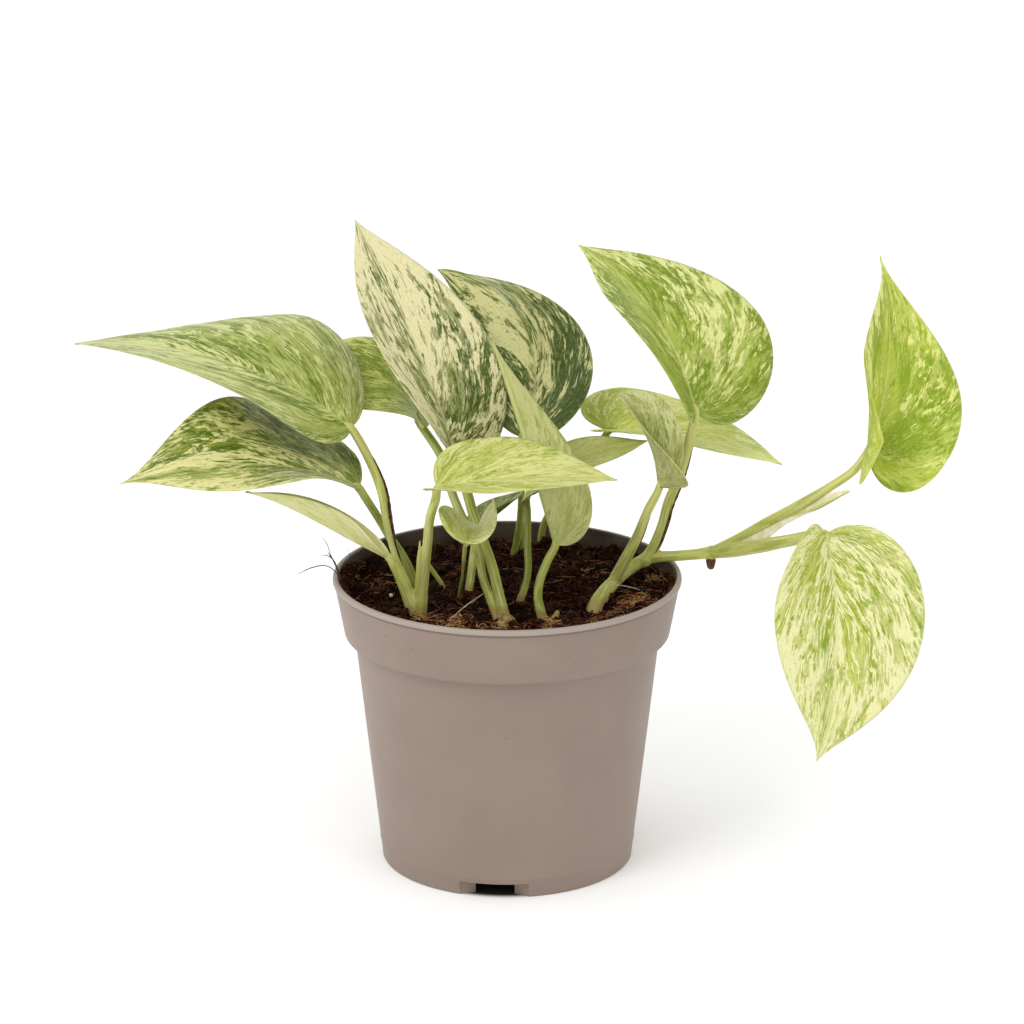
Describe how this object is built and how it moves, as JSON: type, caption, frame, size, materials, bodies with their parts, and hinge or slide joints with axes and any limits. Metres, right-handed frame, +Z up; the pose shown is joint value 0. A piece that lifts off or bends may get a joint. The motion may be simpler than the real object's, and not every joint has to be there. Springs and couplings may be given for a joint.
{
  "type": "potted pothos plant",
  "caption": "Trailing house plant with heart-shaped variegated leaves, growing in soil in a round tapered nursery pot with a wide band under its lip.",
  "frame": {"origin": "on the pot's axis, on the surface that the pot stands on", "axes": "+Z up along the pot's axis; +X to the viewer's right, along the vine that hangs over the lip; -Y towards the viewer"},
  "size_m": [0.3016, 0.1266, 0.2176],
  "materials": {
    "pot": "taupe moulded plastic with fine specks",
    "soil": "moist peat and coir with fibres",
    "stem": "waxy green stem",
    "leaf": "waxy, yellow-green marbled with cream",
    "leaf_dark": "waxy, dark green marbled with cream",
    "leaf_pale": "waxy, pale cream green"
  },
  "bodies": {
    "root": {"pot": "pot", "soil": "soil", "stem_left": "stem", "stem_left_back": "stem", "stem_knob": "stem", "stem_thin": "stem", "stem_middle": "stem", "stem_centre": "stem", "stem_back": "stem", "stem_back_right": "stem", "stem_front": "stem", "stem_stub": "stem", "stem_vine": "stem", "leaf_far_left": "leaf", "leaf_low_left": "leaf_dark", "leaf_back_left": "leaf_dark", "leaf_tall_cream": "leaf", "leaf_dark_back": "leaf_dark", "leaf_folded": "leaf_pale", "leaf_turned_over": "leaf", "leaf_front": "leaf_pale", "leaf_rolled": "leaf_pale", "leaf_tall_right": "leaf", "leaf_back_right": "leaf", "leaf_curled": "leaf", "leaf_small": "leaf_pale", "leaf_hidden": "leaf_dark", "leaf_vine_up": "leaf", "leaf_vine_down": "leaf"}
  },
  "joints": []
}
